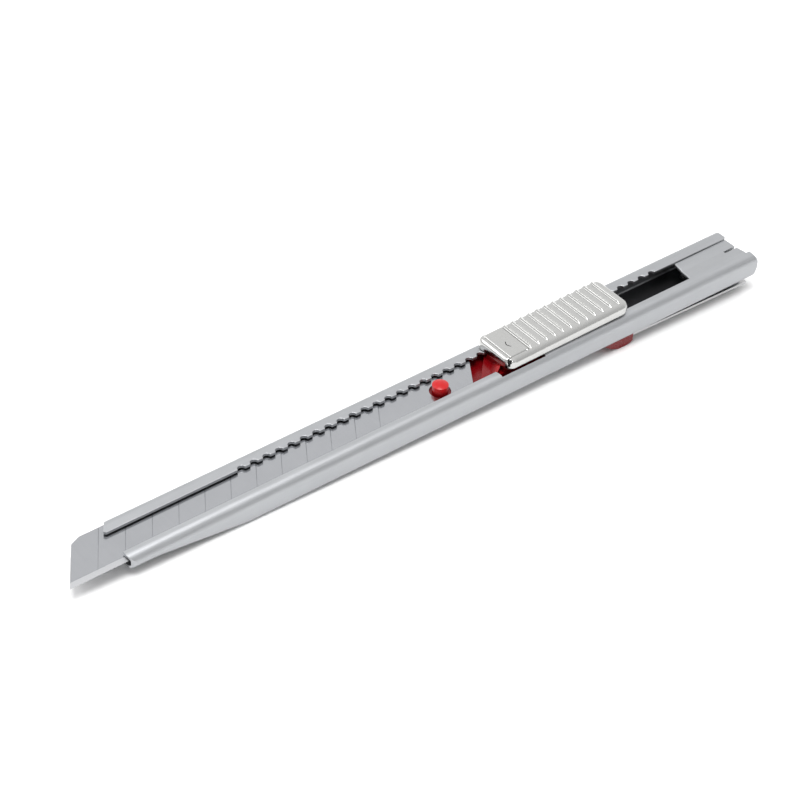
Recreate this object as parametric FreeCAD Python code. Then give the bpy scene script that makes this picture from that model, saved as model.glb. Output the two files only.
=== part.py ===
"""Slim 9 mm snap-off knife: folded steel holder, blade, auto-lock slider and pocket clip.

Working axes while the pieces are drawn, in millimetres:
  x runs from the holder's front end towards its rear, and the blade points to -x
  y is across the holder, with the cutting edge on the -y side and the lock notches on +y
  z is up, and z = 0 is the blade's upper face
place() then moves every piece so that the origin is at the centre of the footprint, at the
lowest point of the clip's shoe.
"""
import FreeCAD, Part
import math
import os

V = FreeCAD.Vector

# Holder: one folded sheet, a shallow nose, a ramp, then a deep channel.
SHEET = 0.5
HOLDER_FRONT = -0.4
HOLDER_LENGTH = 133.9
HOLDER_WIDTH = 10.5
LIP_TOP = 0.76
NOSE_BOTTOM = -1.68
NOSE_SAG = 0.13
DEEP_BOTTOM = -3.9
RAMP_START = 5.0
RAMP_END = 21.8
LIP_FOLD = 1.6
LIP_FOLD_INSIDE = 0.6
FLOOR_FOLD = 0.8
EDGE_ROUND = 0.12
NEAR_CORNER = 1.4
FAR_SLANT_X = 1.9
FAR_SLANT_Y = 2.7
LIP_CORNER = 0.5
LIP_OVERRUN = 0.8
HEEL_OVERRUN = 0.4
FAR_OVERRUN = 0.25
EAR_START = -3.4
EAR_BULGE = 1.5
SLOT_NEAR = -3.0
SLOT_FAR = 2.1
SLIT_START = 131.0
SLIT_CENTRE = -0.75
SLIT_WIDTH = 0.55
WINDOW_END = 120.1
WINDOW_SLANT = 1.1
PLATE_ROUND = 0.25
PLATE_DROP = 0.3
PLATE_SEAM = 0.1
PLATE_SLOPE_END = -0.6
ENTRY_START = 74.7
ENTRY_LENGTH = 10.0
ENTRY_WALL = 0.7
ENTRY_SLANT = 0.3
TONGUE_GAP_START = 133.6
TONGUE_CLEARANCE = 0.3

# Lock notches along the far lip: two for every blade segment.
NOTCH_PITCH = 2.5
NOTCH_COUNT = 37
NOTCH_RADIUS = 0.68
LAND_ROUND = 0.25
FIRST_NOTCH = 25.6
LOCK_NOTCH = 30

# Blade: standard small snap-off blade.
BLADE_THICKNESS = 0.38
BLADE_WIDTH = 9.0
BLADE_TIP = -10.9
BLADE_LENGTH = 79.8
SEGMENT = 5.0
SCORE_COUNT = 12
SCORE_ANGLE = 57.0
SCORE_DEPTH = 0.04
SCORE_WIDTH = 0.12
GRIND_WIDTH = 1.0
SPINE_CHAMFER_X = 1.9
SPINE_CHAMFER_Y = 0.8

# Carriage, peg and slider cap.
PEG_X = 64.4
PEG_Y = -0.75
PEG_RADIUS = 1.42
PEG_RIM = 1.4
PEG_DOME = 0.35
PEG_HOLE_RADIUS = 1.9
SIDE_GAP = 0.15
LIP_GAP = 0.05
BED_TOP = -0.43
BED_BOTTOM = -2.8
BED_FRONT = 72.7
BED_REAR = 103.4
BED_NOSE = 1.1
BED_CHAMFER = 0.45
TONGUE_FRONT = 61.2
TONGUE_BOTTOM = -0.98
TONGUE_WIDTH = 5.4
TONGUE_ROUND = 1.6
SPINE_START = 66.5
SPINE_BOTTOM = -2.2
PIT_BOTTOM = -1.55
PIT_HALF = 3.9
RAIL_START = 76.2
RAIL_CHAMFER = 0.35
POCKET_BOTTOM = -2.1
SHOULDER_X = 77.2
SHOULDER_TOP = 0.84
SHOULDER_CORNER = 1.2
SHOULDER_FOOT = 74.3
SHOULDER_SLANT = 0.98
FLANK_X = 75.3
FLANK_TOP = 0.25
NECK_HALF_GAP = 0.15
CAP_FRONT = 76.35
CAP_REAR = 104.35
CAP_HALF_WIDTH = 4.5
CAP_SKIRT = 0.92
CAP_TOP_FRONT = 3.0
CAP_TILT = 1.3
CAP_WALL = 0.6
CAP_ROOF = 0.85
CAP_EDGE = 1.0
SKIRT_DROP = 0.3
CAP_CORNER = 1.6
RIB_COUNT = 12
RIB_PITCH = 1.84
FIRST_RIB = 82.2
RIB_HEIGHT = 0.3
RIB_CREST = 0.45
POST_X = 101.0
POST_HALF = 0.6
POST_DROP = 0.25
HINGE_X = 79.9
HINGE_Z = 1.45
HINGE_RADIUS = 0.4
HINGE_INSET = 0.25
WEB_FRONT = 78.2
KNUCKLE_RADIUS = 0.56
RUNNING_GAP = 0.03

# Lock spring under the cap.
SPRING_SHEET = 0.35
SPRING_BOTTOM = 0.24
SPRING_FRONT = 83.6
SPRING_REAR = 102.4
SPRING_NEAR = -1.2
SPRING_FAR = 1.75
TOOTH_WIDTH = 1.0
TOOTH_REACH = 2.7
TOOTH_ROUND = 0.35
SPRING_CLEARANCE = 0.2
WELL_START = 89.6
WELL_BOTTOM = -1.2
PIN_RADIUS = 0.5
PIN_HEAD = 0.9
PIN_HEAD_HEIGHT = 0.3
RIVET_FOOT = -1.5
SPRING_RIVETS = {"spring_rivet_front": 84.9, "spring_rivet_rear": 87.9}

# Pocket clip.
CLIP_SHEET = 0.5
TONGUE_LIFT = 0.02
CLIP_HALF_WIDTH = 4.25
CLIP_FRONT = 101.2
CLIP_REAR = 134.2
CLIP_FRONT_TOP = -4.42
CLIP_REAR_TOP = -5.3
CLIP_TONGUE_HALF = 2.0
CLIP_TONGUE_FRONT = 123.0
CLIP_BEND = 134.8
HUMP_FRONT = 130.6
HUMP_LOW = -1.9
HUMP_TOP = -0.55
BEND_CHAMFER = 0.3
CLIP_RIVETS = {"clip_rivet_front": 124.8, "clip_rivet_rear": 128.8}
RIVET_RADIUS = 0.8
RIVET_HEAD = 1.35
RIVET_HEIGHT = 0.35
SHOE_FRONT = 99.0
SHOE_REAR = 105.5
SHOE_HALF_WIDTH = 4.7
SHOE_TOP = DEEP_BOTTOM - 0.04
SHOE_BOTTOM = -6.05
FOOT_FRONT = 102.2
FOOT_REAR = 104.4

FLOOR_TOP = DEEP_BOTTOM + SHEET
LIP_UNDER = LIP_TOP - SHEET
TOTAL_REAR = HOLDER_LENGTH + EAR_BULGE
ORIGIN = V((BLADE_TIP + TOTAL_REAR) / 2, 0, SHOE_BOTTOM)
SCORE_RUN = 1 / math.tan(math.radians(SCORE_ANGLE))


def box(x0, x1, y0, y1, z0, z1):
    return Part.makeBox(x1 - x0, y1 - y0, z1 - z0, V(x0, y0, z0))


def cylinder(radius, x, y, z0, z1):
    return Part.makeCylinder(radius, z1 - z0, V(x, y, z0), V(0, 0, 1))


def prism_xz(points, y0, y1):
    """Side-view outline, (x, z) points, pushed from y0 to y1."""
    wire = Part.makePolygon([V(x, y0, z) for x, z in points + points[:1]])
    return Part.Face(wire).extrude(V(0, y1 - y0, 0))


def prism_yz(points, x0, x1):
    """Cross-section outline, (y, z) points, pushed from x0 to x1."""
    wire = Part.makePolygon([V(x0, y, z) for y, z in points + points[:1]])
    return Part.Face(wire).extrude(V(x1 - x0, 0, 0))


def prism_xy(points, z0, z1):
    """Plan outline, (x, y) points, pushed from z0 to z1."""
    wire = Part.makePolygon([V(x, y, z0) for x, y in points + points[:1]])
    return Part.Face(wire).extrude(V(0, 0, z1 - z0))


def long_edges(shape, lowest=-99, highest=99):
    """Edges that run along the knife between two heights, whatever their slope in side view."""
    found = []
    for edge in shape.Edges:
        run = edge.Vertexes[0].Point - edge.Vertexes[-1].Point
        box_of = edge.BoundBox
        if abs(run.y) < 1e-6 and abs(run.x) > 3 * abs(run.z) and abs(run.x) > 1:
            if box_of.ZMin > lowest and box_of.ZMax < highest:
                found.append(edge)
    return found


def rounded_plan(x0, x1, half_width, radius, z0, z1):
    """Block with its four upright corners rounded."""
    block = box(x0, x1, -half_width, half_width, z0, z1)
    upright = [e for e in block.Edges if abs(e.BoundBox.ZLength - (z1 - z0)) < 1e-6]
    return block.makeFillet(radius, upright)


def channel(inset, x0, x1, lip_radius, floor_radius):
    """Closed bar with the holder's side view, drawn in by inset on every side."""
    half = HOLDER_WIDTH / 2 - inset
    outline = [
        (x0, LIP_TOP - inset),
        (x1, LIP_TOP - inset),
        (x1, DEEP_BOTTOM + inset),
        (RAMP_END, DEEP_BOTTOM + inset),
        (RAMP_START, NOSE_BOTTOM - NOSE_SAG + inset),
        (x0, NOSE_BOTTOM + inset),
    ]
    bar = prism_xz(outline, -half, half)
    bar = bar.makeFillet(floor_radius, long_edges(bar, highest=0))
    return bar.makeFillet(lip_radius, long_edges(bar, lowest=0))


def ear_limits():
    """Side view of the holder's rounded rear end, as a block to keep."""
    lip_end = HOLDER_LENGTH + LIP_OVERRUN
    top = V(lip_end, 0, LIP_TOP + 1)
    lip = V(lip_end, 0, LIP_TOP)
    bulge = V(TOTAL_REAR, 0, (LIP_TOP + DEEP_BOTTOM) / 2)
    heel_x = HOLDER_LENGTH + HEEL_OVERRUN
    heel = V(heel_x, 0, DEEP_BOTTOM)
    foot = V(heel_x, 0, DEEP_BOTTOM - 1)
    front_low = V(HOLDER_FRONT - 1, 0, DEEP_BOTTOM - 1)
    front_top = V(HOLDER_FRONT - 1, 0, LIP_TOP + 1)
    edges = [
        Part.LineSegment(front_top, top).toShape(),
        Part.LineSegment(top, lip).toShape(),
        Part.Arc(lip, bulge, heel).toShape(),
        Part.LineSegment(heel, foot).toShape(),
        Part.LineSegment(foot, front_low).toShape(),
        Part.LineSegment(front_low, front_top).toShape(),
    ]
    face = Part.Face(Part.Wire(edges))
    face.translate(V(0, -HOLDER_WIDTH, 0))
    return face.extrude(V(0, 2 * HOLDER_WIDTH, 0))


def front_limits():
    """Plan view of the holder's front end, as a block to keep: a round and a slanted corner."""
    past = TOTAL_REAR + 3
    half = HOLDER_WIDTH / 2
    outline = [
        (HOLDER_FRONT, -half),
        (past, -half),
        (past, half),
        (HOLDER_FRONT + FAR_SLANT_X, half),
        (HOLDER_FRONT, half - FAR_SLANT_Y),
    ]
    block = prism_xy(outline, DEEP_BOTTOM - 1, LIP_TOP + 1)
    corner = []
    for edge in block.Edges:
        bounds = edge.BoundBox
        if bounds.ZLength > 1 and bounds.XMax < HOLDER_FRONT + 0.01 and bounds.YMin < 0.01 - half:
            corner.append(edge)
    return block.makeFillet(NEAR_CORNER, corner)


def corner_cutter(x, y, step_x, step_y):
    """What is left of a square plan corner at (x, y) once it is rounded; the steps point outwards."""
    inner_x = x - step_x * LIP_CORNER
    inner_y = y - step_y * LIP_CORNER
    xs = sorted((inner_x, x + step_x * 0.1))
    ys = sorted((inner_y, y + step_y * 0.1))
    low = LIP_UNDER - 0.05
    block = box(xs[0], xs[1], ys[0], ys[1], low, LIP_TOP + 1)
    return block.cut(cylinder(LIP_CORNER, inner_x, inner_y, low - 1, LIP_TOP + 2))


def rear_cutters():
    """Cuts that square off the far lip's rear end and part the near ear from the plate."""
    past = TOTAL_REAR + 3
    half = HOLDER_WIDTH / 2
    far_end = HOLDER_LENGTH + FAR_OVERRUN
    low = DEEP_BOTTOM - 1
    return [
        box(far_end, past, 0, half + 1, low, LIP_TOP + 1),
        box(HOLDER_LENGTH, past, EAR_START, 0, LIP_UNDER - 0.05, LIP_TOP + 1),
        corner_cutter(far_end, SLOT_FAR, 1, -1),
        corner_cutter(far_end, half, 1, 1),
        corner_cutter(HOLDER_FRONT, SLOT_FAR, -1, -1),
    ]


def rear_plate():
    """Near lip carried across the channel, a little lower than the far lip that it meets."""
    top = LIP_TOP - PLATE_DROP
    root = SLOT_NEAR - SHEET
    far = SLOT_FAR - PLATE_SEAM
    outline = [
        (root, LIP_TOP),
        (SLOT_NEAR, LIP_TOP),
        (PLATE_SLOPE_END, top),
        (far, top),
        (far, top - SHEET),
        (PLATE_SLOPE_END, top - SHEET),
        (SLOT_NEAR, LIP_UNDER),
        (root, LIP_UNDER),
    ]
    plate = prism_yz(outline, WINDOW_END - 1, HOLDER_LENGTH)
    far_end = WINDOW_END + WINDOW_SLANT
    window = prism_xy([
        (WINDOW_END - 2, -HOLDER_WIDTH),
        (WINDOW_END, -HOLDER_WIDTH),
        (WINDOW_END, SLOT_NEAR),
        (far_end, SLOT_FAR),
        (far_end, HOLDER_WIDTH),
        (WINDOW_END - 2, HOLDER_WIDTH),
    ], -2, 2)
    plate = plate.cut(window)
    brow = []
    for edge in plate.Edges:
        bounds = edge.BoundBox
        if bounds.XMax < far_end + 0.01 and bounds.ZMin > top - 0.01 and bounds.YMin > SLOT_NEAR - 0.01:
            brow.append(edge)
    return plate.makeFillet(PLATE_ROUND, brow)


def notch_edges(x):
    """One rounded notch in the far lip's edge: a convex corner, the notch, a convex corner."""
    reach = math.sqrt((NOTCH_RADIUS + LAND_ROUND) ** 2 - LAND_ROUND ** 2)
    share = NOTCH_RADIUS / (NOTCH_RADIUS + LAND_ROUND)
    turn = math.atan2(reach, LAND_ROUND) / 2
    edges = []
    for side in (-1, 1):
        centre = V(x + side * reach, SLOT_FAR + LAND_ROUND, 0)
        start = V(x + side * reach, SLOT_FAR, 0)
        middle = centre + V(-side * math.sin(turn), -math.cos(turn), 0) * LAND_ROUND
        end = V(x, SLOT_FAR, 0) + (centre - V(x, SLOT_FAR, 0)) * share
        edges.append(Part.Arc(start, middle, end))
    bottom = V(x, SLOT_FAR + NOTCH_RADIUS, 0)
    notch = Part.Arc(edges[0].EndPoint, bottom, edges[1].EndPoint)
    return edges[0].toShape(), notch.toShape(), edges[1].toShape()


def slot_cutter():
    """The long slot between the lips, with the lock notches along its far side."""
    past = TOTAL_REAR + 3
    low = LIP_UNDER - 0.05
    near_start = V(HOLDER_FRONT - 1, SLOT_NEAR, 0)
    last = V(HOLDER_FRONT - 1, SLOT_FAR, 0)
    edges = [Part.LineSegment(near_start, last).toShape()]
    for index in range(NOTCH_COUNT):
        notch = notch_edges(FIRST_NOTCH + index * NOTCH_PITCH)
        land_end = notch[0].BoundBox.XMin
        edges.append(Part.LineSegment(last, V(land_end, SLOT_FAR, 0)).toShape())
        edges.extend(notch)
        last = V(notch[2].BoundBox.XMax, SLOT_FAR, 0)
    edges.append(Part.LineSegment(last, V(past, SLOT_FAR, 0)).toShape())
    edges.append(Part.LineSegment(V(past, SLOT_FAR, 0), V(past, SLOT_NEAR, 0)).toShape())
    entry_end = ENTRY_START + ENTRY_LENGTH
    entry_side = ENTRY_WALL - HOLDER_WIDTH / 2
    near_side = [
        V(past, SLOT_NEAR, 0),
        V(entry_end, SLOT_NEAR, 0),
        V(entry_end, entry_side, 0),
        V(ENTRY_START + ENTRY_SLANT, entry_side, 0),
        V(ENTRY_START, SLOT_NEAR, 0),
        near_start,
    ]
    for start, end in zip(near_side, near_side[1:]):
        edges.append(Part.LineSegment(start, end).toShape())
    face = Part.Face(Part.Wire(Part.sortEdges(edges)[0]))
    face.translate(V(0, 0, low))
    return face.extrude(V(0, 0, LIP_TOP + 1 - low))


def slot_rims(shell):
    """The upper edges of both lips along the slot, which are broken so that they don't cut."""
    found = []
    for edge in shell.Edges:
        bounds = edge.BoundBox
        flat = bounds.ZMin > LIP_TOP - 0.001
        in_slot = bounds.YMin > SLOT_NEAR - 0.001 and bounds.YMax < SLOT_FAR + 1
        if flat and in_slot and bounds.XLength > 0.001:
            found.append(edge)
    return found


def holder():
    past = TOTAL_REAR + 3
    shell = channel(0, HOLDER_FRONT, TOTAL_REAR, LIP_FOLD, FLOOR_FOLD)
    shell = shell.cut(channel(SHEET, HOLDER_FRONT - 2, past, LIP_FOLD_INSIDE, FLOOR_FOLD - SHEET))
    shell = shell.common(front_limits())
    shell = shell.common(ear_limits())
    shell = shell.cut(slot_cutter())
    shell = shell.makeFillet(EDGE_ROUND, slot_rims(shell))
    for cutter in rear_cutters():
        shell = shell.cut(cutter)
    shell = shell.fuse(rear_plate())
    slit = SLIT_WIDTH / 2
    shell = shell.cut(box(SLIT_START, past, SLIT_CENTRE - slit, SLIT_CENTRE + slit, -1, 2))
    tongue = CLIP_TONGUE_HALF + TONGUE_CLEARANCE
    low = DEEP_BOTTOM - 1
    shell = shell.cut(box(TONGUE_GAP_START, past, -tongue, tongue, low, FLOOR_TOP + TONGUE_CLEARANCE))
    for x in CLIP_RIVETS.values():
        shell = shell.cut(cylinder(RIVET_RADIUS, x, 0, low, FLOOR_TOP + 1))
    return shell.removeSplitter()


def score_groove(x_at_edge):
    """V-shaped cutter for one score line, slanted across the blade."""
    half = SCORE_WIDTH / 2
    start = V(x_at_edge, -BLADE_WIDTH / 2, 0)
    wire = Part.makePolygon([
        start + V(-half, 0, 0.001),
        start + V(half, 0, 0.001),
        start + V(0, 0, -SCORE_DEPTH),
        start + V(-half, 0, 0.001),
    ])
    return Part.Face(wire).extrude(V(BLADE_WIDTH * SCORE_RUN, BLADE_WIDTH, 0))


def blade():
    near = -BLADE_WIDTH / 2
    far = BLADE_WIDTH / 2
    rear = BLADE_TIP + BLADE_LENGTH
    shoulder = far - SPINE_CHAMFER_Y
    slant = BLADE_WIDTH * SCORE_RUN
    shoulder_x = BLADE_TIP + (shoulder - near) * SCORE_RUN
    outline = [
        (BLADE_TIP, near),
        (rear, near),
        (rear + slant, far),
        (shoulder_x + SPINE_CHAMFER_X, far),
        (shoulder_x, shoulder),
    ]
    plate = prism_xy(outline, -BLADE_THICKNESS, 0)
    middle = -BLADE_THICKNESS / 2
    for face in (0.0, -BLADE_THICKNESS):
        wedge = [(near - 0.01, middle), (near + GRIND_WIDTH, face), (near - 0.01, face)]
        plate = plate.cut(prism_yz(wedge, BLADE_TIP - 1, rear + 9))
    for index in range(1, SCORE_COUNT + 1):
        plate = plate.cut(score_groove(BLADE_TIP + index * SEGMENT))
    return plate.cut(cylinder(PEG_HOLE_RADIUS, PEG_X, PEG_Y, -1, 1))


def peg():
    """Round peg with a domed head that the blade's hole drops over."""
    sphere_radius = (PEG_RADIUS ** 2 + PEG_DOME ** 2) / (2 * PEG_DOME)
    post = cylinder(PEG_RADIUS, PEG_X, PEG_Y, TONGUE_BOTTOM, PEG_RIM + PEG_DOME)
    centre = V(PEG_X, PEG_Y, PEG_RIM + PEG_DOME - sphere_radius)
    return post.common(Part.makeSphere(sphere_radius, centre))


def slanted_shoulder():
    """Ramp behind the blade's tail: starts on the score angle and rises to a square ridge."""
    near = SLOT_NEAR + NECK_HALF_GAP
    far = SLOT_FAR - NECK_HALF_GAP
    corner = SHOULDER_CORNER
    low = PIT_BOTTOM
    near_start = shoulder_foot(near)
    far_start = shoulder_foot(far)
    a = V(near_start, near, low)
    b = V(far_start, far, low)
    c = V(SHOULDER_X, far, SHOULDER_TOP)
    d = V(SHOULDER_X, near + corner, SHOULDER_TOP)
    e = V(FLANK_X, near, FLANK_TOP)
    under = [V(p.x, p.y, PIT_BOTTOM - 0.4) for p in (a, b, c, d, e)]
    faces = [
        Part.Face(Part.makePolygon([a, d, b, a])),
        Part.Face(Part.makePolygon([b, d, c, b])),
        Part.Face(Part.makePolygon([a, e, d, a])),
        Part.Face(Part.makePolygon([c, d, under[3], under[2], c])),
        Part.Face(Part.makePolygon([d, e, under[4], under[3], d])),
        Part.Face(Part.makePolygon([b, c, under[2], under[1], b])),
        Part.Face(Part.makePolygon([a, b, under[1], under[0], a])),
        Part.Face(Part.makePolygon([e, a, under[0], under[4], e])),
        Part.Face(Part.makePolygon([under[0], under[1], under[2], under[3], under[4], under[0]])),
    ]
    return Part.Solid(Part.Shell(faces))


def shoulder_foot(y):
    """Where the shoulder's slanted face meets the pit's floor."""
    return SHOULDER_FOOT + y * SHOULDER_SLANT


def pit_cutter():
    """Pocket between the blade's tail and the shoulder."""
    tail = BLADE_TIP + BLADE_LENGTH
    outline = []
    for y in (-PIT_HALF, PIT_HALF):
        outline.append((tail + (y + BLADE_WIDTH / 2) * SCORE_RUN, y))
    for y in (PIT_HALF, -PIT_HALF):
        outline.append((shoulder_foot(y), y))
    return prism_xy(outline, PIT_BOTTOM, 1)


def carriage():
    half = HOLDER_WIDTH / 2 - SHEET - SIDE_GAP
    bed_side = [
        (BED_FRONT, BED_TOP),
        (BED_REAR, BED_TOP),
        (BED_REAR, BED_BOTTOM),
        (BED_FRONT + 2 * BED_NOSE, BED_BOTTOM),
        (BED_FRONT, BED_BOTTOM + BED_NOSE),
    ]
    bed = prism_xz(bed_side, -half, half)
    bed = bed.makeChamfer(BED_CHAMFER, long_edges(bed, highest=BED_BOTTOM + 0.1))
    tongue_half = TONGUE_WIDTH / 2
    tongue = rounded_plan(
        TONGUE_FRONT, BED_FRONT + 4, tongue_half, TONGUE_ROUND, TONGUE_BOTTOM, BED_TOP
    )
    spine = box(SPINE_START, BED_FRONT + 4, -tongue_half, tongue_half, SPINE_BOTTOM, BED_TOP)
    tongue = tongue.fuse(spine)
    tongue.translate(V(0, PEG_Y / 2, 0))
    rails = [
        (RAIL_START, -half),
        (BED_REAR, -half),
        (BED_REAR, half),
        (RAIL_START + half * SCORE_RUN, half),
    ]
    rail_top = LIP_UNDER - LIP_GAP
    rail = prism_xy(rails, BED_TOP - 0.5, rail_top)
    rail = rail.makeChamfer(RAIL_CHAMFER, long_edges(rail, lowest=rail_top - 0.1))
    pocket_end = ENTRY_START + ENTRY_LENGTH + 1
    pocket = box(ENTRY_START - 1, pocket_end, -half - 1, SLOT_NEAR, POCKET_BOTTOM, 1)
    body = bed.fuse(tongue).cut(pit_cutter()).fuse(rail).cut(pocket)
    neck_near = SLOT_NEAR + NECK_HALF_GAP
    neck_far = SLOT_FAR - NECK_HALF_GAP
    neck = box(SHOULDER_X, BED_REAR - 0.6, neck_near, neck_far, BED_TOP - 0.5, SPRING_BOTTOM)
    knuckle_start = V(HINGE_X, neck_near, HINGE_Z)
    knuckle = Part.makeCylinder(KNUCKLE_RADIUS, neck_far - neck_near, knuckle_start, V(0, 1, 0))
    web = box(WEB_FRONT, HINGE_X + 2, neck_near, neck_far, BED_TOP, HINGE_Z)
    body = body.fuse(neck).fuse(knuckle).fuse(web).fuse(slanted_shoulder())
    body = body.fuse(peg())
    well_near = SPRING_NEAR - SPRING_CLEARANCE
    well_far = SPRING_FAR + SPRING_CLEARANCE / 2
    well = box(WELL_START, BED_REAR - 0.9, well_near, well_far, WELL_BOTTOM, 2)
    tooth_x = FIRST_NOTCH + LOCK_NOTCH * NOTCH_PITCH
    tooth_far = TOOTH_REACH + 2 * SPRING_CLEARANCE
    tooth_well = box(
        tooth_x - TOOTH_WIDTH - SPRING_CLEARANCE, tooth_x + TOOTH_WIDTH + SPRING_CLEARANCE,
        0, tooth_far, WELL_BOTTOM, 2,
    )
    body = body.cut(well).cut(tooth_well)
    for x in SPRING_RIVETS.values():
        middle = (SPRING_NEAR + SPRING_FAR) / 2
        body = body.cut(cylinder(PIN_RADIUS, x, middle, RIVET_FOOT, 2))
    body = body.cut(Part.makeCylinder(HINGE_RADIUS, 12, V(HINGE_X, -6, HINGE_Z), V(0, 1, 0)))
    return body.removeSplitter()


def hinge_pin():
    half = CAP_HALF_WIDTH - HINGE_INSET
    return Part.makeCylinder(HINGE_RADIUS, 2 * half, V(HINGE_X, -half, HINGE_Z), V(0, 1, 0))


def lock_spring():
    """Flat leaf with a side tooth that sits in one of the lock notches."""
    top = SPRING_BOTTOM + SPRING_SHEET
    half_width = (SPRING_FAR - SPRING_NEAR) / 2
    middle = (SPRING_NEAR + SPRING_FAR) / 2
    strip = rounded_plan(SPRING_FRONT, SPRING_REAR, half_width, PIN_RADIUS, SPRING_BOTTOM, top)
    strip.translate(V(0, middle, 0))
    tooth_x = FIRST_NOTCH + LOCK_NOTCH * NOTCH_PITCH
    half = TOOTH_WIDTH / 2
    tooth = box(tooth_x - half, tooth_x + half, middle, TOOTH_REACH, SPRING_BOTTOM, top)
    tip = []
    for edge in tooth.Edges:
        bounds = edge.BoundBox
        if bounds.YMin > TOOTH_REACH - 0.01 and bounds.ZLength > SPRING_SHEET / 2:
            tip.append(edge)
    leaf = strip.fuse(tooth.makeFillet(TOOTH_ROUND, tip))
    for x in SPRING_RIVETS.values():
        leaf = leaf.cut(cylinder(PIN_RADIUS, x, middle, -1, 2))
    return leaf.removeSplitter()


def spring_rivet(x):
    middle = (SPRING_NEAR + SPRING_FAR) / 2
    top = SPRING_BOTTOM + SPRING_SHEET
    shank = cylinder(PIN_RADIUS, x, middle, RIVET_FOOT, top)
    head = cylinder(PIN_HEAD, x, middle, top, top + PIN_HEAD_HEIGHT)
    rim = [edge for edge in head.Edges if edge.BoundBox.ZMin > top + PIN_HEAD_HEIGHT - 0.01]
    return shank.fuse(head.makeFillet(PIN_HEAD_HEIGHT * 0.6, rim)).removeSplitter()


def tilted(shape):
    """Turn a piece about the cap's front lower edge, by the slider's rest tilt."""
    shape.rotate(V(CAP_FRONT, 0, CAP_SKIRT), V(0, 1, 0), -CAP_TILT)
    return shape


def rib_cutter(index, top):
    """Groove in front of one rib: a steep wall behind it and a long slope in front."""
    crest = FIRST_RIB + index * RIB_PITCH
    foot = crest + RIB_PITCH - RIB_CREST
    outline = [
        (crest, top + 0.001),
        (foot, top - RIB_HEIGHT),
        (foot + 0.06, top + 0.001),
    ]
    groove_half = CAP_HALF_WIDTH - CAP_EDGE
    return prism_xz(outline, -groove_half, CAP_HALF_WIDTH + 1)


def slider_cap():
    """Pressed cap with side skirts, a rounded rim and a ribbed thumb pad."""
    top = CAP_TOP_FRONT
    low = CAP_SKIRT - SKIRT_DROP
    outer = rounded_plan(CAP_FRONT, CAP_REAR, CAP_HALF_WIDTH, CAP_CORNER, low, top)
    rim = [e for e in outer.Edges if e.BoundBox.ZMin > top - 1e-6]
    outer = outer.makeFillet(CAP_EDGE, rim)
    inner = rounded_plan(
        CAP_FRONT + CAP_WALL, CAP_REAR - CAP_WALL, CAP_HALF_WIDTH - CAP_WALL,
        CAP_CORNER - CAP_WALL, CAP_SKIRT - 1, top - CAP_ROOF,
    )
    slope = [(CAP_FRONT, CAP_SKIRT), (CAP_REAR, low), (CAP_REAR, low - 1), (CAP_FRONT, low - 1)]
    outer = outer.cut(prism_xz(slope, -CAP_HALF_WIDTH, CAP_HALF_WIDTH))
    for index in range(RIB_COUNT):
        outer = outer.cut(rib_cutter(index, top))
    cap = outer.cut(inner)
    post = box(
        POST_X - POST_HALF, POST_X + POST_HALF, SPRING_NEAR + 0.3, SPRING_FAR - 0.3,
        CAP_SKIRT - POST_DROP, top - CAP_WALL,
    )
    cap = cap.fuse(post)
    cap = tilted(cap)
    pin_gap = HINGE_RADIUS + RUNNING_GAP
    pin_half = CAP_HALF_WIDTH - HINGE_INSET + RUNNING_GAP
    pin_start = V(HINGE_X, -pin_half, HINGE_Z)
    cap = cap.cut(Part.makeCylinder(pin_gap, 2 * pin_half, pin_start, V(0, 1, 0)))
    return cap.removeSplitter()


def clip_slope(x):
    """Height of the clip strip's upper face at x."""
    share = (x - SHOE_REAR) / (CLIP_REAR - SHOE_REAR)
    return CLIP_FRONT_TOP + (CLIP_REAR_TOP - CLIP_FRONT_TOP) * share


def pocket_clip():
    """Strip under the floor whose tongue rises through the rear, dips and lies on the floor."""
    lie = FLOOR_TOP + TONGUE_LIFT
    inner_bend = CLIP_BEND - CLIP_SHEET
    inner_hump = HUMP_FRONT + CLIP_SHEET
    strip = prism_xz([
        (CLIP_FRONT, clip_slope(CLIP_FRONT)),
        (CLIP_REAR, CLIP_REAR_TOP),
        (CLIP_REAR, CLIP_REAR_TOP - CLIP_SHEET),
        (CLIP_FRONT, clip_slope(CLIP_FRONT) - CLIP_SHEET),
    ], -CLIP_HALF_WIDTH, CLIP_HALF_WIDTH)
    tongue = prism_xz([
        (CLIP_REAR - 1, clip_slope(CLIP_REAR - 1)),
        (inner_bend - BEND_CHAMFER, CLIP_REAR_TOP),
        (inner_bend, CLIP_REAR_TOP + BEND_CHAMFER),
        (inner_bend, HUMP_TOP - 1.2 * CLIP_SHEET),
        (inner_hump, HUMP_LOW - CLIP_SHEET),
        (inner_hump, lie),
        (CLIP_TONGUE_FRONT, lie),
        (CLIP_TONGUE_FRONT, lie + CLIP_SHEET),
        (HUMP_FRONT, lie + CLIP_SHEET),
        (HUMP_FRONT, HUMP_LOW - BEND_CHAMFER),
        (HUMP_FRONT + BEND_CHAMFER, HUMP_LOW),
        (inner_bend, HUMP_TOP),
        (CLIP_BEND, HUMP_TOP - CLIP_SHEET),
        (CLIP_BEND, CLIP_REAR_TOP),
        (inner_bend, CLIP_REAR_TOP - CLIP_SHEET),
        (CLIP_REAR - 1, clip_slope(CLIP_REAR - 1) - CLIP_SHEET),
    ], -CLIP_TONGUE_HALF, CLIP_TONGUE_HALF)
    clip = strip.fuse(tongue)
    for x in CLIP_RIVETS.values():
        clip = clip.cut(cylinder(RIVET_RADIUS, x, 0, FLOOR_TOP - 0.5, FLOOR_TOP + 2))
    return clip.removeSplitter()


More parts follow.
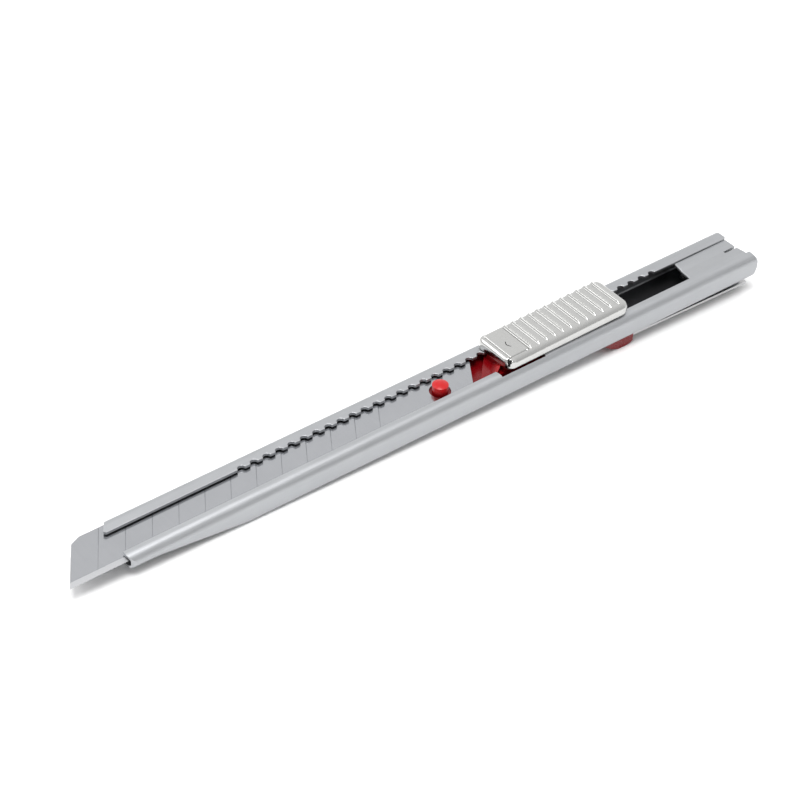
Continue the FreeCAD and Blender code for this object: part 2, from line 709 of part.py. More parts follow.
def clip_shoe():
    """Plastic runner on the clip's front end; the knife rests on it."""
    outline = [
        (SHOE_FRONT, SHOE_TOP),
        (SHOE_REAR, SHOE_TOP),
        (SHOE_REAR, SHOE_BOTTOM + 0.45),
        (FOOT_REAR, SHOE_BOTTOM),
        (FOOT_FRONT, SHOE_BOTTOM),
        (SHOE_FRONT + 1.4, SHOE_TOP - 1.3),
        (SHOE_FRONT, SHOE_TOP - 0.3),
    ]
    shoe = prism_xz(outline, -SHOE_HALF_WIDTH, SHOE_HALF_WIDTH)
    slot = prism_xz([
        (CLIP_FRONT, clip_slope(CLIP_FRONT)),
        (SHOE_REAR + 1, clip_slope(SHOE_REAR + 1)),
        (SHOE_REAR + 1, clip_slope(SHOE_REAR + 1) - CLIP_SHEET),
        (CLIP_FRONT, clip_slope(CLIP_FRONT) - CLIP_SHEET),
    ], -CLIP_HALF_WIDTH, CLIP_HALF_WIDTH)
    return shoe.cut(slot)


def clip_rivet(x):
    tongue_top = FLOOR_TOP + TONGUE_LIFT + CLIP_SHEET
    shank = cylinder(RIVET_RADIUS, x, 0, DEEP_BOTTOM, tongue_top)
    upper = cylinder(RIVET_HEAD, x, 0, tongue_top, tongue_top + RIVET_HEIGHT)
    lower = cylinder(RIVET_HEAD, x, 0, DEEP_BOTTOM - RIVET_HEIGHT, DEEP_BOTTOM)
    return shank.fuse(upper).fuse(lower).removeSplitter()


def place(name, shape):
    """Move a piece into the part's frame, test it and write it."""
    shape.translate(-ORIGIN)
    solids = shape.Solids
    if not shape.isValid() or not solids:
        raise ValueError(name + " is not a valid solid")
    if len(solids) == 1:
        shape = solids[0]
    shape.exportStep("parts/" + name + ".step")
    bounds = shape.BoundBox
    print("%-20s solids %d volume %9.2f  x %.2f..%.2f  z %.2f..%.2f" % (
        name, len(solids), shape.Volume, bounds.XMin, bounds.XMax, bounds.ZMin, bounds.ZMax))


def main():
    os.makedirs("parts", exist_ok=True)
    place("holder", holder())
    place("blade", blade())
    place("carriage", carriage())
    place("slider_cap", slider_cap())
    place("hinge_pin", hinge_pin())
    place("lock_spring", lock_spring())
    for name, x in SPRING_RIVETS.items():
        place(name, spring_rivet(x))
    place("pocket_clip", pocket_clip())
    place("clip_shoe", clip_shoe())
    for name, x in CLIP_RIVETS.items():
        place(name, clip_rivet(x))


main()
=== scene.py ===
"""Looks of the slim snap-off knife: materials, detailed pieces, camera and studio."""
import bmesh
import bpy
import math
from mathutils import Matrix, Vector


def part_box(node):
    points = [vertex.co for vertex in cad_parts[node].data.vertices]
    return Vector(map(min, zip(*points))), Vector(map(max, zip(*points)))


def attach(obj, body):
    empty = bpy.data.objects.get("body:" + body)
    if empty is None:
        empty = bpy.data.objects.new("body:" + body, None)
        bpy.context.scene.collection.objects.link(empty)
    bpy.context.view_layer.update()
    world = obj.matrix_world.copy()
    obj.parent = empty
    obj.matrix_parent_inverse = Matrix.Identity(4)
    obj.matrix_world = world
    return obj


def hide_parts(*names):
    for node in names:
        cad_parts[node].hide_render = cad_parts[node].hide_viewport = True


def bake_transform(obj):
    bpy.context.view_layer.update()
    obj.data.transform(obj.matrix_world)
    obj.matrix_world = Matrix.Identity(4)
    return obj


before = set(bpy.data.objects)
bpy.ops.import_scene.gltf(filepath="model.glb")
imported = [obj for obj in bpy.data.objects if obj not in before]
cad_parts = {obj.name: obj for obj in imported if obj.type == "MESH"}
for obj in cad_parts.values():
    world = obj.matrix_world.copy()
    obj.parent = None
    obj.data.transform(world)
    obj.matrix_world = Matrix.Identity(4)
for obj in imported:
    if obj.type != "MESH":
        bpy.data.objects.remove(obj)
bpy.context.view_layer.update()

MM = 0.001
HOLDER_LOW, HOLDER_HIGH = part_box("holder")
BLADE_LOW, BLADE_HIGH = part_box("blade")
CAP_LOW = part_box("slider_cap")[0]
SHOE_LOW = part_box("clip_shoe")[0]

# Places that the materials are worked out from
SHEET = 0.5 * MM
# The channel's floor and half width also bound the painted shade on the channel floor
CHANNEL_FLOOR = HOLDER_LOW.z + SHEET
CHANNEL_HALF = HOLDER_HIGH.y - 0.75 * MM
BEVEL_INNER = BLADE_LOW.y + 1.0 * MM
# Heights over which the red plastic goes from its painted shade colour to its full colour
RED_SHADED_BELOW = BLADE_HIGH.z - 0.15 * MM
RED_UNSHADED_ABOVE = BLADE_HIGH.z + 0.95 * MM

# Textures: noise cells per metre, the part of a noise's range that is used, and how deep a bump reaches
BROAD_PATCHES = (220, 420, 420)
FLOW_PATCHES = (300, 500, 500)
FINE_SKIN = (9000, 9000, 9000)
FLOOR_PATCHES = (60, 60, 60)
COLOUR_SPAN = (0.3, 0.7)
STEEL_ROUGH_SPAN = (0.25, 0.75)
PLASTIC_ROUGH_SPAN = (0.2, 0.8)
GRAIN_DEPTH = 0.02 * MM
SKIN_DEPTH = 0.01 * MM

# Sockets of the mix node that share a name, by number
COLOUR_A, COLOUR_B, COLOUR_OUT = 6, 7, 2
NUMBER_A, NUMBER_B, NUMBER_OUT = 2, 3, 0

# Plastic and table top
FLOW_DARKEST = 0.85
PLASTIC_IOR = 1.49
PLASTIC_SPECULAR = 0.35
FLOOR_DARK = (0.9, 0.9, 0.9)
FLOOR_LIGHT = (0.93, 0.93, 0.93)
FLOOR_ROUGH = 0.6
FLOOR_SPECULAR = 0.2

# Camera
CAMERA_PLACE = Vector((-0.19714, -0.23103, 0.25807))
CAMERA_TURN = (50.093, -1.878, -38.047)
CAMERA_LENS = 105.4
CAMERA_CLIP_START = 0.01

# Studio: a floor, a sky that is brighter on the far side, and two soft lamps
RAMP_END_X = HOLDER_LOW.x + 22.2 * MM
SHOE_FOOT_X = SHOE_LOW.x + 3.2 * MM
FLOOR_HALF = 3.0
SKY_AHEAD = Vector((0.637, 0.771, 0))
SKY_TURN = (-0.3, 0.7)
SKY_NEAR = 0.66
SKY_FAR = 1.0
OVERHEAD_PLACE = (-0.1, -0.08, 0.8)
OVERHEAD_SIZE = (0.42, 0.42)
OVERHEAD_POWER = 5.0
SIDE_PLACE = (-0.3, 0.5, 0.62)
SIDE_SIZE = (0.5, 0.4)
SIDE_POWER = 1.3

# Slider cap, in millimetres from the lower front edge of its skirt
CAP_PIVOT = Vector((CAP_LOW.x + 0.02 * MM, 0, CAP_LOW.z))
CAP_TILT = math.radians(1.3)
CAP_LENGTH = 28.0
CAP_HALF = 4.5
CAP_HEIGHT = 2.08
CAP_EDGE = 1.0
CAP_CORNER = 1.6
CAP_WALL = 0.6
CAP_ROOF = 1.23
# Material slot for the cap's painted shade
PAINTED_SHADE_SLOT = 1

# Rim: round in section, squarer at the front; the pressed relief fades out towards it
RIM_POWER = 2
RIM_POWER_FRONT = 4
RIM_POWER_RUN = 0.9
RELIEF_FADE = 0.7

# Skirt in section: how far in from the outline, and how far up from its lower edge
SKIRT_EDGE = 0.12
SKIRT_SECTION = (
    (0, 0.4),
    (0, SKIRT_EDGE),
    (0.04, 0.03),
    (SKIRT_EDGE, 0),
    (CAP_WALL - SKIRT_EDGE, 0),
    (CAP_WALL - 0.04, 0.03),
    (CAP_WALL, SKIRT_EDGE),
    (CAP_WALL, 0.85),
    (CAP_WALL + 0.1, 1.08),
    (CAP_WALL + 0.33, CAP_ROOF),
)

# The skirt's lower part reaches further down towards the rear
SKIRT_DROP = 0.3
SKIRT_DROP_TOP = 0.3
SKIRT_DROP_RUN = 0.5

# How finely the cap's skin is cut
RIM_CUTS = 8
RIM_SIDE_CUTS = 9
CREASE_ZONE_END = 1.3
CHEVRON_ZONE = (2.5, 3.5)
NEAR_ZONE_END = -2.8
STEP_CREASE = 0.05
STEP_CHEVRON = 0.06
STEP_BETWEEN = 0.14
STEP_PANEL = 0.12
STEP_RIBS = 0.07
STEP_NEAR = 0.06
STEP_ACROSS = 0.1

# Front panel, its creases and its chevron
PANEL_REAR = 5.2
PANEL_REAR_RUN = 0.25
PANEL_NEAR = -3.6
PANEL_NEAR_RUN = 0.2
PANEL_DROP = 0.2
CREASE_FRONT = 1.16
CREASE_NEAR = -3.4
CREASE_HALF = 0.14
CREASE_FRONT_DEPTH = 0.16
CREASE_NEAR_DEPTH = 0.14
CREASE_END = 3.45
CREASE_NEAR_STOP = 0.3
# Half widths and reach of the painted shade along the creases
CREASE_PAINTED_SHADE = 0.05
CREASE_PAINTED_SHADE_NEAR = 0.04
CREASE_PAINTED_SHADE_END = 3.5
CHEVRON_FRONT = 2.7
CHEVRON_MIDDLE = -0.4
CHEVRON_ARM = 0.8
CHEVRON_SLOPE = 0.5
CHEVRON_WIDTH = 0.18
CHEVRON_DEPTH = 0.03

# Ribs: a steep front, a round crest and a long slope behind
RIB_DROP = 0.36
RIB_FIRST = 5.6
RIB_PITCH = 1.84
RIB_COUNT = 12
RIB_RISE = 0.2
RIB_CREST = 0.26
RIB_FALL = 0.3
RIB_FALL_POWER = 1.4
RIB_SLOPE_SHARE = 0.22
RIB_NEAR_END = -3.6
RIB_END_RUN = 0.95
RIB_END_ROUND = 0.35

# Relief hole at the near front corner (along, across, radius), its depth and how steep its wall is
RELIEF_HOLE = (0.62, -3.86, 0.36)
RELIEF_DEPTH = 0.4
RELIEF_WALL = 1.8


# ---------------------------------------------------------------- materials

def new_material(name):
    material = bpy.data.materials.new(name)
    material.use_nodes = True
    tree = material.node_tree
    tree.nodes.clear()
    output = tree.nodes.new("ShaderNodeOutputMaterial")
    shader = tree.nodes.new("ShaderNodeBsdfPrincipled")
    tree.links.new(shader.outputs[0], output.inputs[0])
    return material, tree, shader


def noise(tree, cells, detail, roughness=0.5):
    """Noise with so many cells per metre along X, Y and Z: few along one axis make long strokes."""
    place = tree.nodes.new("ShaderNodeTexCoord")
    mapping = tree.nodes.new("ShaderNodeMapping")
    mapping.inputs["Scale"].default_value = cells
    tree.links.new(place.outputs["Object"], mapping.inputs["Vector"])
    node = tree.nodes.new("ShaderNodeTexNoise")
    node.inputs["Scale"].default_value = 1.0
    node.inputs["Detail"].default_value = detail
    node.inputs["Roughness"].default_value = roughness
    tree.links.new(mapping.outputs["Vector"], node.inputs["Vector"])
    return node.outputs["Fac"]


def ramp(tree, value, low, high, out_low, out_high):
    node = tree.nodes.new("ShaderNodeMapRange")
    node.inputs["From Min"].default_value = low
    node.inputs["From Max"].default_value = high
    node.inputs["To Min"].default_value = out_low
    node.inputs["To Max"].default_value = out_high
    tree.links.new(value, node.inputs["Value"])
    return node.outputs["Result"]


def tint(tree, value, dark, light):
    node = tree.nodes.new("ShaderNodeMix")
    node.data_type = "RGBA"
    node.inputs[COLOUR_A].default_value = (*dark, 1)
    node.inputs[COLOUR_B].default_value = (*light, 1)
    tree.links.new(value, node.inputs["Factor"])
    return node.outputs[COLOUR_OUT]


def bump(tree, height, strength, distance):
    node = tree.nodes.new("ShaderNodeBump")
    node.inputs["Strength"].default_value = strength
    node.inputs["Distance"].default_value = distance
    tree.links.new(height, node.inputs["Height"])
    return node.outputs["Normal"]


def steel(name, dark, light, rough, grain, strokes, mottle):
    """Steel with broad mottling and a fine grain, drawn out along the axis with the fewest strokes."""
    material, tree, shader = new_material(name)
    shader.inputs["Metallic"].default_value = 1.0
    fine = noise(tree, strokes, detail=4.0, roughness=0.6)
    broad = noise(tree, BROAD_PATCHES, detail=3.0)
    mixed = tree.nodes.new("ShaderNodeMath")
    mixed.operation = "MULTIPLY_ADD"
    mixed.inputs[1].default_value = mottle
    tree.links.new(broad, mixed.inputs[0])
    tree.links.new(fine, mixed.inputs[2])
    span_low, span_high = COLOUR_SPAN
    colour = ramp(tree, mixed.outputs[0], span_low, span_high + mottle, 0, 1)
    tree.links.new(tint(tree, colour, dark, light), shader.inputs["Base Color"])
    tree.links.new(ramp(tree, fine, *STEEL_ROUGH_SPAN, *rough), shader.inputs["Roughness"])
    tree.links.new(bump(tree, fine, grain, GRAIN_DEPTH), shader.inputs["Normal"])
    return material


def place_along(tree, axis):
    """The X, Y or Z of the piece's own position, in metres."""
    own = tree.nodes.new("ShaderNodeTexCoord")
    parts = tree.nodes.new("ShaderNodeSeparateXYZ")
    tree.links.new(own.outputs["Object"], parts.inputs[0])
    return parts.outputs[axis]


def times(tree, first, second):
    node = tree.nodes.new("ShaderNodeMath")
    node.operation = "MULTIPLY"
    tree.links.new(first, node.inputs[0])
    tree.links.new(second, node.inputs[1])
    return node.outputs[0]


def recoloured(material, mask, colour, rough):
    """Blend a steel towards another base colour and roughness where the mask is 1."""
    tree = material.node_tree
    shader = tree.nodes["Principled BSDF"]
    base = shader.inputs["Base Color"].links[0].from_socket
    node = tree.nodes.new("ShaderNodeMix")
    node.data_type = "RGBA"
    node.inputs[COLOUR_B].default_value = (*colour, 1)
    tree.links.new(mask, node.inputs["Factor"])
    tree.links.new(base, node.inputs[COLOUR_A])
    tree.links.new(node.outputs[COLOUR_OUT], shader.inputs["Base Color"])
    softness = tree.nodes.new("ShaderNodeMix")
    softness.inputs[NUMBER_B].default_value = rough
    tree.links.new(mask, softness.inputs["Factor"])
    tree.links.new(shader.inputs["Roughness"].links[0].from_socket, softness.inputs[NUMBER_A])
    tree.links.new(softness.outputs[NUMBER_OUT], shader.inputs["Roughness"])


def paint_shade_in_channel(material):
    """Paint shade into the inside floor of the channel: a near-black base colour there, where little
    light reaches, darker than the outside of the same sheet.
    """
    tree = material.node_tree
    height = place_along(tree, "Z")
    side = place_along(tree, "Y")
    soft = 0.1 * MM
    full_up_to = CHANNEL_FLOOR + 0.6 * MM
    fades_by = CHANNEL_FLOOR + 2.4 * MM
    outside = CHANNEL_FLOOR - 0.3 * MM
    low = ramp(tree, height, full_up_to, fades_by, 1, 0)
    inner = ramp(tree, height, outside, CHANNEL_FLOOR - soft, 0, 1)
    near = ramp(tree, side, -CHANNEL_HALF - soft, -CHANNEL_HALF + soft, 0, 1)
    far = ramp(tree, side, CHANNEL_HALF - soft, CHANNEL_HALF + soft, 1, 0)
    mask = times(tree, times(tree, low, inner), times(tree, near, far))
    # Painted shade: near-black colour on the channel floor
    recoloured(material, mask, colour=(0.07, 0.07, 0.075), rough=0.45)


def shade_bevel(material):
    """The ground cutting edge: brighter and coarser than the flat of the blade."""
    tree = material.node_tree
    soft = 0.04 * MM
    edge = ramp(tree, place_along(tree, "Y"), BEVEL_INNER - soft, BEVEL_INNER + soft, 1, 0)
    recoloured(material, edge, colour=(0.4, 0.405, 0.415), rough=0.48)


def plastic(name, colour, deep, rough, grain):
    """Moulded plastic with a faint flow pattern and a fine skin, and painted shade: its low parts take
    the darker deep colour, and it is brighter where it stands above the blade's top.
    """
    material, tree, shader = new_material(name)
    flow = noise(tree, FLOW_PATCHES, detail=2.0)
    skin = noise(tree, FINE_SKIN, detail=3.0)
    # Painted shade: the colour ramps from the deep colour below the blade's top to the full colour just
    # above it
    clear_of_painted_shade = ramp(tree, place_along(tree, "Z"), RED_SHADED_BELOW, RED_UNSHADED_ABOVE, 0, 1)
    shade = times(tree, clear_of_painted_shade, ramp(tree, flow, *COLOUR_SPAN, FLOW_DARKEST, 1))
    tree.links.new(tint(tree, shade, deep, colour), shader.inputs["Base Color"])
    tree.links.new(ramp(tree, skin, *PLASTIC_ROUGH_SPAN, *rough), shader.inputs["Roughness"])
    tree.links.new(bump(tree, skin, grain, SKIN_DEPTH), shader.inputs["Normal"])
    shader.inputs["IOR"].default_value = PLASTIC_IOR
    shader.inputs["Specular IOR Level"].default_value = PLASTIC_SPECULAR
    return material


def holder_steel():
    material = steel("holder_steel_satin", dark=(0.41, 0.42, 0.435), light=(0.48, 0.49, 0.505),
                     rough=(0.4, 0.52), grain=0.25, strokes=(160, 5200, 5200), mottle=0.5)
    # Painted shade on the inside floor of the channel
    paint_shade_in_channel(material)
    return material


def blade_steel():
    material = steel("blade_steel_ground", dark=(0.42, 0.43, 0.45), light=(0.48, 0.49, 0.51),
                     rough=(0.14, 0.24), grain=0.12, strokes=(6500, 240, 6500), mottle=0.6)
    shade_bevel(material)
    return material


def cap_plating():
    return steel("satin_plating", dark=(0.54, 0.54, 0.53), light=(0.6, 0.6, 0.59),
                 rough=(0.15, 0.24), grain=0.15, strokes=(3500, 3500, 3500), mottle=0.2)


def cap_painted_shade():
    # Painted shade: a near-black steel put where the cap's pressings would be in shadow
    return steel("recess_shadowed", dark=(0.02, 0.02, 0.02), light=(0.035, 0.035, 0.035),
                 rough=(0.5, 0.6), grain=0.1, strokes=(3500, 3500, 3500), mottle=0.1)


def spring_steel():
    return steel("spring_steel_rolled", dark=(0.46, 0.46, 0.47), light=(0.6, 0.6, 0.6),
                 rough=(0.22, 0.36), grain=0.2, strokes=(180, 5200, 5200), mottle=0.3)


def turned_steel():
    return steel("turned_steel", dark=(0.5, 0.5, 0.5), light=(0.62, 0.62, 0.62),
                 rough=(0.2, 0.32), grain=0.2, strokes=(4200, 4200, 300), mottle=0.2)


def red_moulding():
    # deep is the painted shade colour of the red's low parts
    return plastic("red_moulding", colour=(0.5, 0.01, 0.012), deep=(0.17, 0.001, 0.003),
                   rough=(0.22, 0.32), grain=0.1)


def dress(node, material):
    """Give a CAD node its final material in every slot."""
    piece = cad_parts[node]
    if not piece.data.materials:
        piece.data.materials.append(material)
    for index in range(len(piece.material_slots)):
        piece.material_slots[index].material = material


def placed(name, data):
    """A new object in the scene."""
    piece = bpy.data.objects.new(name, data)
    bpy.context.scene.collection.objects.link(piece)
    return piece


# ---------------------------------------------------------------- slider cap

def clamp(value):
    return max(0.0, min(1.0, value))


def smooth(value):
    value = clamp(value)
    return value * value * (3 - 2 * value)


def cap_point(along, across, up):
    """A point of the cap, from its own millimetres to the scene's metres, with its rest tilt."""
    x = along * math.cos(CAP_TILT) - up * math.sin(CAP_TILT)
    z = along * math.sin(CAP_TILT) + up * math.cos(CAP_TILT)
    return CAP_PIVOT + Vector((x, across, z)) * MM


def steps(start, end, size):
    """Evenly spaced numbers from start up to, not including, end."""
    count = max(1, round((end - start) / size))
    return [start + (end - start) * index / count for index in range(count)]


def rim_steps(depth, count):
    """Distances in from an edge, close together at the edge where the rim is steep."""
    return [depth * (1 - math.cos(math.pi / 2 * index / count)) for index in range(count)]


def cap_half_width(along):
    """Half the cap's plan width, which narrows round its corners."""
    past = max(CAP_CORNER - along, along - (CAP_LENGTH - CAP_CORNER), 0)
    return CAP_HALF - CAP_CORNER + math.sqrt(max(CAP_CORNER ** 2 - past ** 2, 0))


def cap_inset(along, across):
    """How far a plan point lies inside the cap's rounded outline."""
    side_x = min(along, CAP_LENGTH - along)
    side_y = CAP_HALF - abs(across)
    if side_x < CAP_CORNER and side_y < CAP_CORNER:
        return CAP_CORNER - math.hypot(CAP_CORNER - side_x, CAP_CORNER - side_y)
    return min(side_x, side_y)


def rib_share(along):
    """Height of the ribs from 0 to 1 at a distance along the cap."""
    place = along - RIB_FIRST
    if not 0 <= place < RIB_COUNT * RIB_PITCH:
        return 0.0
    place %= RIB_PITCH
    past_crest = max(0.0, place - RIB_CREST) / RIB_FALL
    hump = (1 - RIB_SLOPE_SHARE) * math.exp(-past_crest ** RIB_FALL_POWER)
    slope = RIB_SLOPE_SHARE * (1 - place / RIB_PITCH)
    return smooth(place / RIB_RISE) * (hump + slope)


def rib_end(across):
    """How much of their height the ribs have at a distance across: they run out at the near side."""
    end = clamp((across - RIB_NEAR_END) / RIB_END_RUN)
    rounded = math.sqrt(1 - (1 - end) ** 2)
    return RIB_END_ROUND * rounded + (1 - RIB_END_ROUND) * smooth(end)


def crease(distance, depth):
    """A fine pressed line, distance from its middle."""
    return depth * max(0.0, 1 - abs(distance) / CREASE_HALF)


def on_chevron(along, across):
    """Whether a point lies on the small pressed chevron of the front panel."""
    reach = abs(across - CHEVRON_MIDDLE)
    behind = along - CHEVRON_FRONT - CHEVRON_SLOPE * reach
    return reach <= CHEVRON_ARM and 0 <= behind <= CHEVRON_WIDTH


def cap_relief(along, across):
    """How far the pressed top lies below the ribs' crests."""
    panel = 1 - smooth((along - PANEL_REAR) / PANEL_REAR_RUN)
    panel *= smooth((across - PANEL_NEAR) / PANEL_NEAR_RUN)
    ribs = rib_share(along) * rib_end(across)
    drop = RIB_DROP + (PANEL_DROP - RIB_DROP) * panel - RIB_DROP * ribs
    if along < PANEL_REAR and across > -CREASE_END:
        drop += crease(along - CREASE_FRONT, CREASE_FRONT_DEPTH)
    if CREASE_FRONT < along < PANEL_REAR - CREASE_NEAR_STOP:
        drop += crease(across - CREASE_NEAR, CREASE_NEAR_DEPTH)
    if on_chevron(along, across):
        drop += CHEVRON_DEPTH
    return drop


def gets_painted_shade(along, across):
    """Where painted shade goes: the relief hole, the panel's creases and the chevron, where the
    pressing is sharp and deep.
    """
    hole_x, hole_y, hole_radius = RELIEF_HOLE
    hole = math.hypot(along - hole_x, across - hole_y) < hole_radius
    within = abs(across) < CREASE_PAINTED_SHADE_END
    front_crease = within and abs(along - CREASE_FRONT) < CREASE_PAINTED_SHADE
    rear_crease = within and abs(along - PANEL_REAR - CREASE_PAINTED_SHADE) < CREASE_PAINTED_SHADE
    near_crease = abs(across - CREASE_NEAR) < CREASE_PAINTED_SHADE_NEAR and CREASE_FRONT < along < PANEL_REAR
    return hole or front_crease or rear_crease or near_crease or on_chevron(along, across)


def cap_rows():
    """Where the mesh is cut along the cap: finest at the rims, the crease, the chevron and the ribs."""
    rim = rim_steps(CAP_EDGE, RIM_CUTS)
    chevron_start, chevron_end = CHEVRON_ZONE
    rows = list(rim)
    rows += steps(CAP_EDGE, CREASE_ZONE_END, STEP_CREASE)
    rows += steps(CREASE_ZONE_END, chevron_start, STEP_BETWEEN)
    rows += steps(chevron_start, chevron_end, STEP_CHEVRON)
    rows += steps(chevron_end, PANEL_REAR, STEP_PANEL)
    rows += steps(PANEL_REAR, CAP_LENGTH - CAP_EDGE, STEP_RIBS)
    rows += [CAP_LENGTH - step for step in reversed(rim[1:] + [CAP_EDGE])]
    return rows + [CAP_LENGTH]


def cap_columns():
    """Where the mesh is cut across the cap, as shares of its half width: finest on the near side."""
    rim = rim_steps(CAP_EDGE, RIM_SIDE_CUTS)
    columns = [-CAP_HALF + step for step in rim]
    columns += steps(CAP_EDGE - CAP_HALF, NEAR_ZONE_END, STEP_NEAR)
    columns += steps(NEAR_ZONE_END, CAP_HALF - CAP_EDGE, STEP_ACROSS)
    columns += [CAP_HALF - step for step in reversed(rim[1:] + [CAP_EDGE])]
    return [across / CAP_HALF for across in columns + [CAP_HALF]]


def cap_height(along, across):
    """Height of the cap's outer skin above the skirt's lower edge."""
    inset = clamp(cap_inset(along, across) / CAP_EDGE)
    change = smooth((along - RIM_POWER_RUN) / RIM_POWER_RUN)
    power = RIM_POWER_FRONT - (RIM_POWER_FRONT - RIM_POWER) * change
    rim = CAP_EDGE * (1 - (1 - (1 - inset) ** power) ** (1 / power))
    lift = (RIB_DROP - cap_relief(along, across)) * smooth(inset / RELIEF_FADE)
    hole_x, hole_y, hole_radius = RELIEF_HOLE
    away = math.hypot(along - hole_x, across - hole_y) / hole_radius
    hole = RELIEF_DEPTH * smooth(RELIEF_WALL - RELIEF_WALL * away)
    return CAP_HEIGHT - RIB_DROP - rim + lift - hole


def outline_inset(along, across, inset):
    """A point on the cap's outline moved inwards, square to the outline."""
    middle_x = min(max(along, CAP_CORNER), CAP_LENGTH - CAP_CORNER)
    middle_y = min(max(across, CAP_CORNER - CAP_HALF), CAP_HALF - CAP_CORNER)
    shift = Vector((along - middle_x, across - middle_y)).normalized() * inset
    return along - shift.x, across - shift.y


def cap_skin(mesh):
    """The cap's outer skin, as rows of points: along, across and the mesh's vertex."""
    columns = cap_columns()
    grid = []
    for along in cap_rows():
        half = cap_half_width(along)
        line = []
        for share in columns:
            across = share * half
            vert = mesh.verts.new(cap_point(along, across, cap_height(along, across)))
            line.append((along, across, vert))
        grid.append(line)
    for front, rear in zip(grid, grid[1:]):
        for index in range(len(columns) - 1):
            corners = (front[index], rear[index], rear[index + 1], front[index + 1])
            face = mesh.faces.new([corner[2] for corner in corners])
            middle_x = sum(corner[0] for corner in corners) / 4
            middle_y = sum(corner[1] for corner in corners) / 4
            # Faces in the sharp, deep pressings get the painted shade material
            if gets_painted_shade(middle_x, middle_y):
                face.material_index = PAINTED_SHADE_SLOT
    return grid


def cap_outline(grid):
    """The edge of the skin as one closed ring of points."""
    ring = list(grid[0])
    ring += [line[-1] for line in grid[1:]]
    ring += list(reversed(grid[-1][:-1]))
    ring += [line[0] for line in reversed(grid[1:-1])]
    return ring


def cap_skirt(mesh, ring):
    """The skirt, down its outside, round its lower edge and up its inside to the hollow roof."""
    previous = [vert for along, across, vert in ring]
    for inset, up in SKIRT_SECTION:
        current = []
        for along, across, vert in ring:
            x, y = outline_inset(along, across, inset)
            low = 1 - smooth((up - SKIRT_DROP_TOP) / SKIRT_DROP_RUN)
            droop = SKIRT_DROP * along / CAP_LENGTH * low
            current.append(mesh.verts.new(cap_point(x, y, up - droop)))
        for index in range(len(ring)):
            after = (index + 1) % len(ring)
            mesh.faces.new((previous[index], previous[after], current[after], current[index]))
        previous = current
    mesh.faces.new(previous)


def slider_cap():
    """Pressed cap: skirt, rounded rim, panel, ribs and a relief hole, with its hollow underside."""
    mesh = bmesh.new()
    cap_skirt(mesh, cap_outline(cap_skin(mesh)))
    bmesh.ops.recalc_face_normals(mesh, faces=mesh.faces)
    for face in mesh.faces:
        face.smooth = True
    data = bpy.data.meshes.new("pressed_cap")
    mesh.to_mesh(data)
    mesh.free()
    data.materials.append(cap_plating())
    # Second slot: painted shade for the relief hole, creases and chevron
    data.materials.append(cap_painted_shade())
    piece = placed("pressed_cap", data)
    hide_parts("slider_cap")
    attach(piece, "cap")


# ---------------------------------------------------------------- pocket clip

def bending_clip(steel_sheet):
    """The clip's own shape, copied in spring steel in place of the CAD clip, with its folded tail in
    the holder.
    """
    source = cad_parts["pocket_clip"]
    data = source.data.copy()
    data.materials.clear()
    data.materials.append(steel_sheet)
    piece = placed("sprung_clip", data)
    piece.matrix_world = source.matrix_world.copy()
    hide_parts("pocket_clip")
    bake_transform(piece)


# ---------------------------------------------------------------- studio

def floor_height(x):
    """The table is a plane that touches the rear end of the holder's ramp and the clip's shoe."""
    slope = (SHOE_LOW.z - HOLDER_LOW.z) / (SHOE_FOOT_X - RAMP_END_X)
    return SHOE_LOW.z + (x - SHOE_FOOT_X) * slope


def floor():
    mesh = bpy.data.meshes.new("floor")
    corners = []
    for x, y in ((-1, -1), (1, -1), (1, 1), (-1, 1)):
        corners.append((x * FLOOR_HALF, y * FLOOR_HALF, floor_height(x * FLOOR_HALF)))
    mesh.from_pydata(corners, [], [(0, 1, 2, 3)])
    piece = placed("floor", mesh)
    material, tree, shader = new_material("floor_white")
    speckle = noise(tree, FLOOR_PATCHES, detail=2.0)
    tree.links.new(tint(tree, speckle, FLOOR_DARK, FLOOR_LIGHT), shader.inputs["Base Color"])
    shader.inputs["Roughness"].default_value = FLOOR_ROUGH
    shader.inputs["Specular IOR Level"].default_value = FLOOR_SPECULAR
    mesh.materials.append(material)


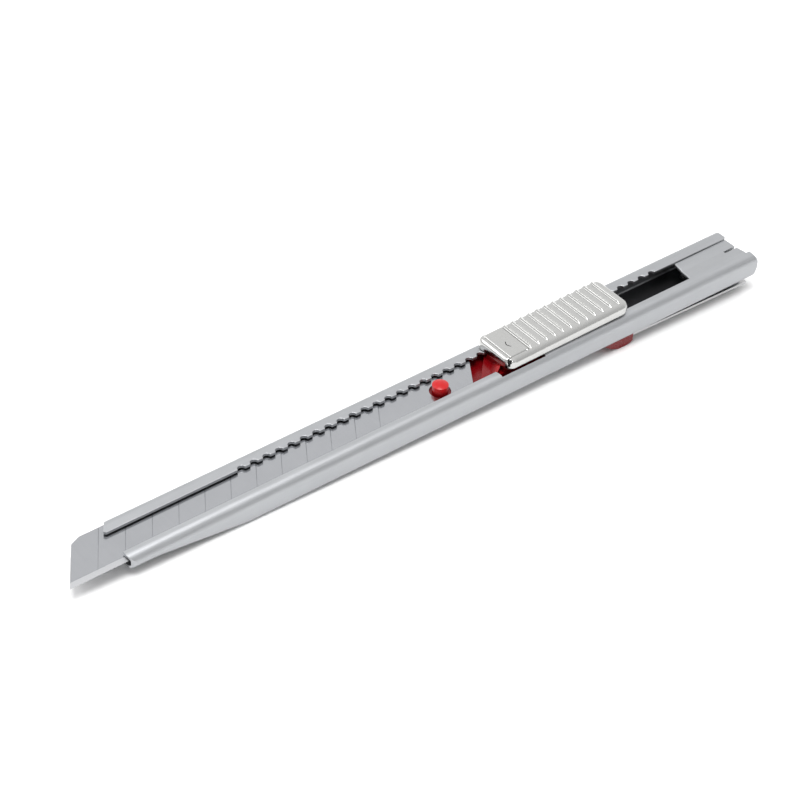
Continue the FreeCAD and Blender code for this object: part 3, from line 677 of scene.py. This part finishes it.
def area_light(name, place, size, power):
    """A rectangular lamp aimed at the middle of the knife."""
    data = bpy.data.lights.new(name, "AREA")
    data.shape = "RECTANGLE"
    data.size, data.size_y = size
    data.energy = power
    lamp = placed(name, data)
    lamp.location = place
    aim = -Vector(place)
    lamp.rotation_euler = aim.to_track_quat("-Z", "Y").to_euler()


def studio():
    """Soft studio light: a sky that brightens towards the far side, and two lamps."""
    world = bpy.data.worlds.new("studio")
    bpy.context.scene.world = world
    world.use_nodes = True
    tree = world.node_tree
    background = tree.nodes["Background"]
    background.inputs["Color"].default_value = (1, 1, 1, 1)
    direction = tree.nodes.new("ShaderNodeTexCoord")
    ahead = tree.nodes.new("ShaderNodeVectorMath")
    ahead.operation = "DOT_PRODUCT"
    ahead.inputs[1].default_value = SKY_AHEAD
    tree.links.new(direction.outputs["Generated"], ahead.inputs[0])
    sky = ramp(tree, ahead.outputs["Value"], *SKY_TURN, SKY_NEAR, SKY_FAR)
    tree.links.new(sky, background.inputs["Strength"])
    area_light("overhead", OVERHEAD_PLACE, OVERHEAD_SIZE, OVERHEAD_POWER)
    area_light("far_side", SIDE_PLACE, SIDE_SIZE, SIDE_POWER)
    bpy.context.scene.view_settings.view_transform = "Standard"


def camera():
    data = bpy.data.cameras.new("camera")
    data.lens = CAMERA_LENS
    data.clip_start = CAMERA_CLIP_START
    piece = placed("camera", data)
    piece.location = CAMERA_PLACE
    piece.rotation_euler = [math.radians(angle) for angle in CAMERA_TURN]
    bpy.context.scene.camera = piece


# ---------------------------------------------------------------- assembly

def main():
    red = red_moulding()
    spring = spring_steel()
    pins = turned_steel()
    dress("holder", holder_steel())
    dress("blade", blade_steel())
    dress("carriage", red)
    # The shoe lies wholly below the blade, so it is painted all over in the red's shade colour
    dress("clip_shoe", red)
    dress("lock_spring", spring)
    for node in ("hinge_pin", "spring_rivet_front", "spring_rivet_rear",
                 "clip_rivet_front", "clip_rivet_rear"):
        dress(node, pins)
    slider_cap()
    bending_clip(spring)
    floor()
    studio()
    camera()


main()
